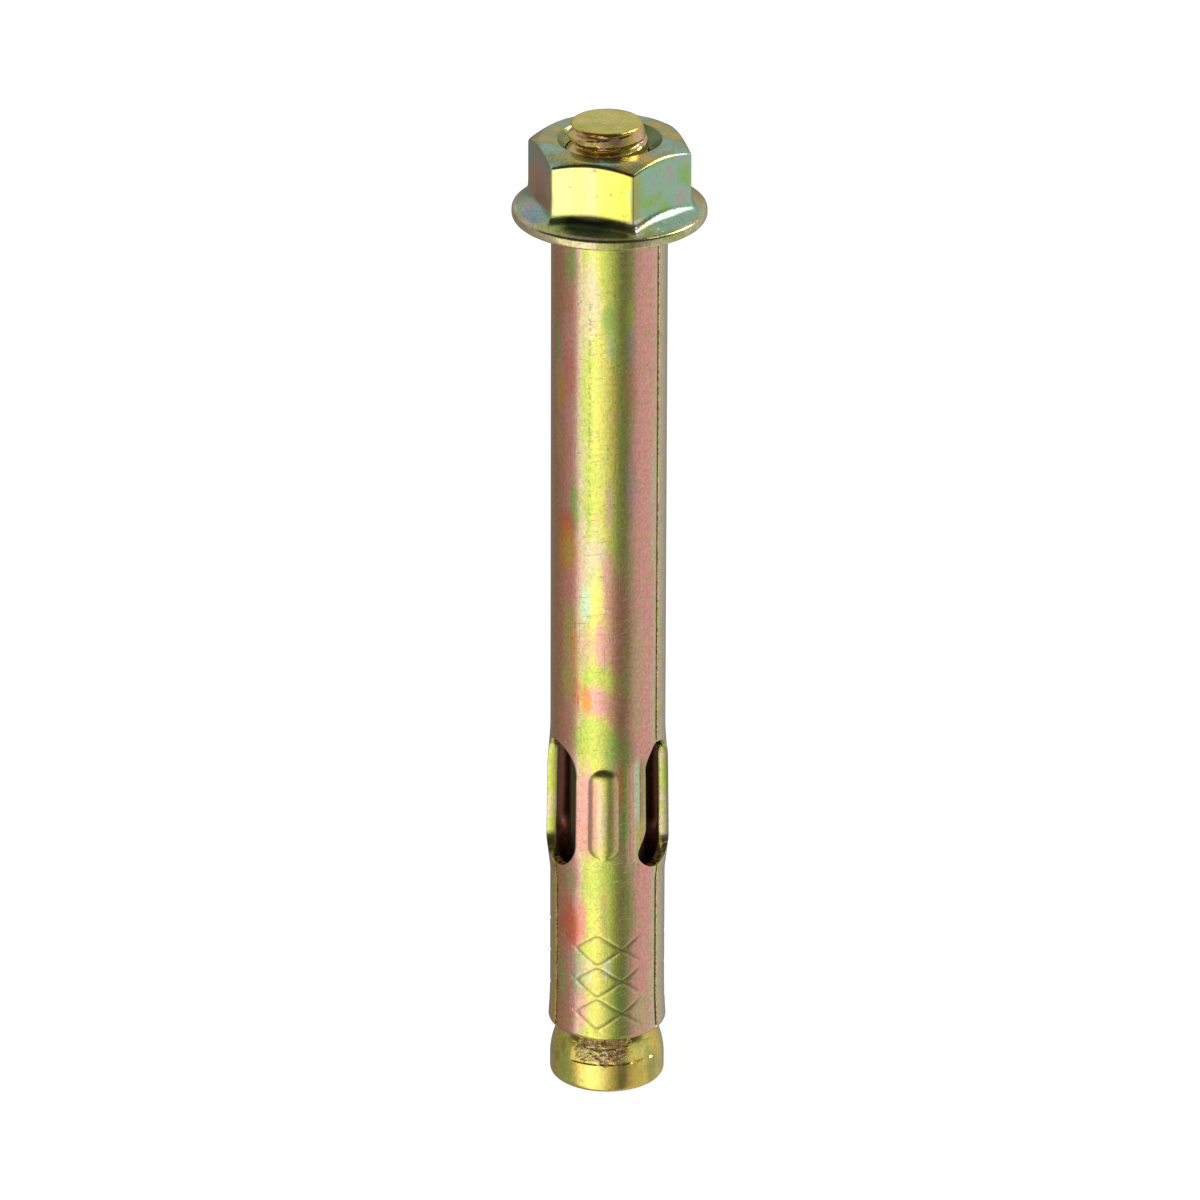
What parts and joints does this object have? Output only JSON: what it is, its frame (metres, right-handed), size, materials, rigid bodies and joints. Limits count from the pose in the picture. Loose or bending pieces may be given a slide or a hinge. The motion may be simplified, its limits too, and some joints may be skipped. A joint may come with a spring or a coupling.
{
  "type": "sleeve anchor",
  "caption": "Sleeve anchor: a threaded stud with an expander cone, a slit and windowed sheet-steel sleeve around it, and a hex flange nut, yellow zinc plated.",
  "frame": {"origin": "centre of the cone's flat end, at the bottom of the anchor", "axes": "+Z along the stud, from the cone to the nut; one rib of the sleeve faces -Y"},
  "size_m": [0.0134, 0.0134, 0.0717],
  "materials": {
    "stud_zinc": "yellow zinc plating, satin",
    "sleeve_zinc": "yellow zinc plating with green and pink tints, glossy",
    "nut_zinc": "yellow zinc plating, greener, glossy"
  },
  "bodies": {
    "sleeve": {"expansion_sleeve": "sleeve_zinc"},
    "nut": {"flange_nut": "nut_zinc"},
    "stud": {"cone_bolt": "stud_zinc"}
  },
  "joints": [
    {"name": "nut_spin", "type": "hinge", "parent": "sleeve", "child": "nut", "pos_m": [0, 0, 0.0676], "axis": [0, 0, 1], "range_deg": [0, 2160]},
    {"name": "stud_draw", "type": "slide", "parent": "sleeve", "child": "stud", "axis": [0, 0, 1], "range_m": [-0.006, 0]}
  ],
  "couplings": [
    {"joint": "nut_spin", "follows": "stud_draw", "rad_per_m": -6283.2}
  ]
}
